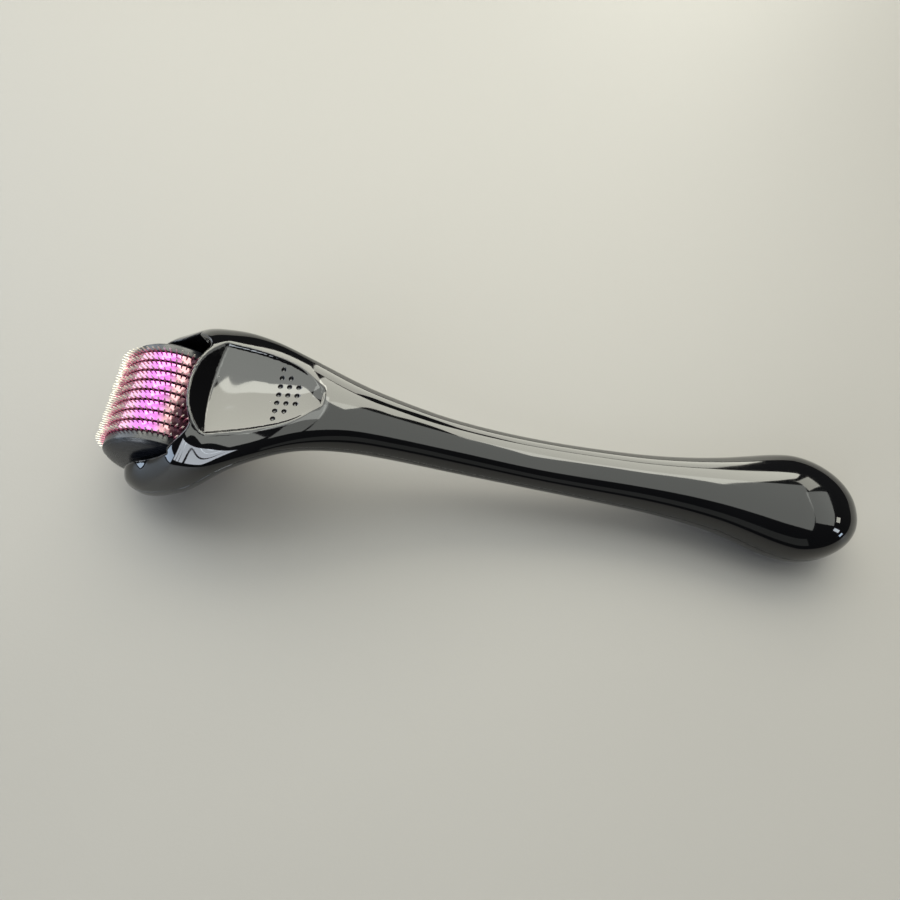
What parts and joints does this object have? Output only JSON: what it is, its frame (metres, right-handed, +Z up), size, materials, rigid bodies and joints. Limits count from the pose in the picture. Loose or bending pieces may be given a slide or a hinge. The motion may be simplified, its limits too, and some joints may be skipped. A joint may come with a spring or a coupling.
{
  "type": "derma roller",
  "caption": "Hand-held skin needling roller: a free-turning drum of fine needle rings in the forked head of a curved glossy handle with a rounded end.",
  "frame": {"origin": "on the surface the roller lies on, under the middle of its bounding box", "axes": "+X along the handle from the drum to the round end, +Y across it along the drum's axle, +Z up"},
  "size_m": [0.1411, 0.031, 0.0246],
  "materials": {
    "black_gloss": "jet black moulded plastic, mirror gloss",
    "black_satin": "black moulded plastic, slightly softer gloss",
    "magenta_metal": "anodised magenta bands, fine turned grain",
    "needle_metal": "pale titanium-coated needles",
    "pin_steel": "ground steel pin"
  },
  "bodies": {
    "handle": {"handle_upper_shell": "black_gloss", "handle_lower_shell": "black_gloss", "axle_pin": "pin_steel"},
    "drum": {"drum_core": "black_satin", "end_cap_far": "black_satin", "end_cap_near": "black_satin", "needle_disc_1": "needle_metal", "needle_disc_2": "needle_metal", "needle_disc_3": "needle_metal", "needle_disc_4": "needle_metal", "needle_disc_5": "needle_metal", "needle_disc_6": "needle_metal", "needle_disc_7": "needle_metal", "needle_disc_8": "needle_metal", "needle_disc_9": "needle_metal", "spacer_ring_1": "magenta_metal", "spacer_ring_2": "magenta_metal", "spacer_ring_3": "magenta_metal", "spacer_ring_4": "magenta_metal", "spacer_ring_5": "magenta_metal", "spacer_ring_6": "magenta_metal", "spacer_ring_7": "magenta_metal", "spacer_ring_8": "magenta_metal"}
  },
  "joints": [
    {"name": "drum_spin", "type": "hinge", "parent": "handle", "child": "drum", "pos_m": [-0.06035, 0, 0.0102], "axis": [0, 1, 0], "continuous": true}
  ]
}
